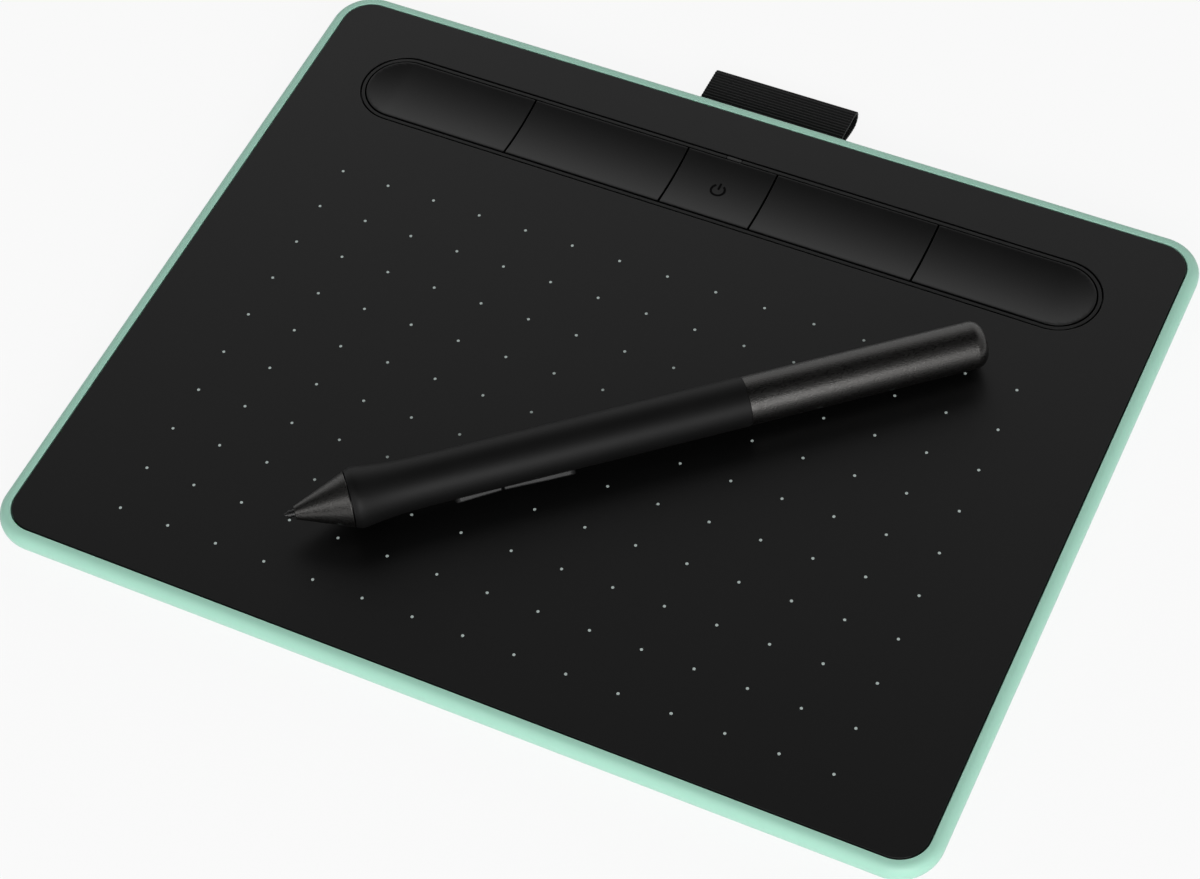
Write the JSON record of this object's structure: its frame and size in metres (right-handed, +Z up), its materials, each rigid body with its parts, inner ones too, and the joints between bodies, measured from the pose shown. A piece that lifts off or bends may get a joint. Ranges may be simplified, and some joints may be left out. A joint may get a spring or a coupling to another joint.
{
  "type": "pen drawing tablet",
  "caption": "Slim pen tablet with a black drawing surface in a pastel green case, a sunken key bar, a rear ribbon pen loop and a pen lying on it.",
  "frame": {"origin": "middle of the footprint, pen loop included, on the plane of the feet's soles", "axes": "+X to the user's right, +Y to the rear, towards the pen loop, +Z up"},
  "size_m": [0.2, 0.1724, 0.0212],
  "materials": {
    "shell_green": "pastel green, satin",
    "cover_black": "black, finely textured, matte",
    "key_black": "black, satin",
    "lens": "smoky clear, glossy",
    "ribbon": "black ribbed ribbon",
    "foot_rubber": "dark grey, matte",
    "board": "green solder mask, satin",
    "steel": "plated, satin",
    "inner_black": "black, satin",
    "battery_foil": "foil pouch, satin",
    "cable_white": "off-white, satin",
    "pen_soft_touch": "black soft-touch, matte",
    "pen_satin": "black, satin",
    "pen_key": "black, satin",
    "nib_plastic": "dark grey, satin",
    "ferrite": "dark grey, matte",
    "copper": "copper wire, lacquered"
  },
  "bodies": {
    "tablet": {"base_shell": "shell_green", "top_cover": "cover_black", "key_bezel": "key_black", "light_pipe": "lens", "dome_switch_left_outer": "steel", "dome_switch_left_inner": "steel", "dome_switch_power_key": "steel", "dome_switch_right_inner": "steel", "dome_switch_right_outer": "steel", "sensor_board": "board", "sensor_shield": "steel", "main_board": "board", "flat_cable": "cable_white", "usb_socket": "steel", "radio_module": "steel", "controller_chip": "inner_black", "status_led": "lens", "battery_pack": "battery_foil", "battery_lead": "cable_white", "battery_plug": "cable_white", "pen_loop": "ribbon", "loop_clamp": "inner_black", "foot_front_left": "foot_rubber", "foot_front_right": "foot_rubber", "foot_rear_left": "foot_rubber", "foot_rear_right": "foot_rubber", "case_screw_front_left": "steel", "case_screw_front_right": "steel", "case_screw_rear_left": "steel", "case_screw_rear_right": "steel", "board_screw_front_left": "steel", "board_screw_front_right": "steel", "board_screw_rear_left": "steel", "board_screw_rear_right": "steel"},
    "key_left_outer": {"key_left_outer": "key_black"},
    "key_left_inner": {"key_left_inner": "key_black"},
    "power_key": {"power_key": "key_black"},
    "key_right_inner": {"key_right_inner": "key_black"},
    "key_right_outer": {"key_right_outer": "key_black"},
    "pen": {"pen_grip": "pen_soft_touch", "pen_nose_cone": "pen_satin", "pen_core": "inner_black", "pen_pressure_sensor": "ferrite", "pen_ferrite": "ferrite", "pen_coil": "copper", "pen_circuit_board": "board", "pen_switch_contact_front": "steel", "pen_switch_contact_rear": "steel", "pen_nib_holder": "inner_black", "spare_nib_1": "nib_plastic", "spare_nib_2": "nib_plastic", "spare_nib_3": "nib_plastic"},
    "nib_carrier": {"pen_nib_socket": "steel"},
    "nib": {"pen_nib": "nib_plastic"},
    "pen_switch_front": {"pen_switch_front": "pen_key"},
    "pen_switch_rear": {"pen_switch_rear": "pen_key"},
    "rear_barrel": {"pen_rear_barrel": "pen_satin", "pen_thread_ring": "steel"}
  },
  "joints": [
    {"name": "key_left_outer_press", "type": "slide", "parent": "tablet", "child": "key_left_outer", "axis": [0, 0, -1], "range_m": [0, 0.0005], "stiffness_N_per_m": 400, "springref_m": -0.0005},
    {"name": "key_left_inner_press", "type": "slide", "parent": "tablet", "child": "key_left_inner", "axis": [0, 0, -1], "range_m": [0, 0.0005], "stiffness_N_per_m": 400, "springref_m": -0.0005},
    {"name": "power_key_press", "type": "slide", "parent": "tablet", "child": "power_key", "axis": [0, 0, -1], "range_m": [0, 0.0005], "stiffness_N_per_m": 400, "springref_m": -0.0005},
    {"name": "key_right_inner_press", "type": "slide", "parent": "tablet", "child": "key_right_inner", "axis": [0, 0, -1], "range_m": [0, 0.0005], "stiffness_N_per_m": 400, "springref_m": -0.0005},
    {"name": "key_right_outer_press", "type": "slide", "parent": "tablet", "child": "key_right_outer", "axis": [0, 0, -1], "range_m": [0, 0.0005], "stiffness_N_per_m": 400, "springref_m": -0.0005},
    {"name": "pen_lift", "type": "slide", "parent": "tablet", "child": "pen", "axis": [0, 0, 1], "range_m": [0, 0.06]},
    {"name": "nib_press", "type": "slide", "parent": "pen", "child": "nib_carrier", "axis": [0.7615, 0.6481, -0.0079], "range_m": [0, 0.0002], "stiffness_N_per_m": 1000, "springref_m": -0.0001},
    {"name": "nib_pull", "type": "slide", "parent": "nib_carrier", "child": "nib", "axis": [-0.7615, -0.6481, 0.0079], "range_m": [0, 0.03]},
    {"name": "pen_switch_front_press", "type": "slide", "parent": "pen", "child": "pen_switch_front", "axis": [-0.3761, 0.4517, 0.809], "range_m": [0, 0.00035], "stiffness_N_per_m": 400, "springref_m": -0.0005},
    {"name": "pen_switch_rear_press", "type": "slide", "parent": "pen", "child": "pen_switch_rear", "axis": [-0.3761, 0.4517, 0.809], "range_m": [0, 0.00035], "stiffness_N_per_m": 400, "springref_m": -0.0005},
    {"name": "rear_barrel_pull", "type": "slide", "parent": "pen", "child": "rear_barrel", "axis": [0.7615, 0.6481, -0.0079], "range_m": [0, 0.04]}
  ]
}
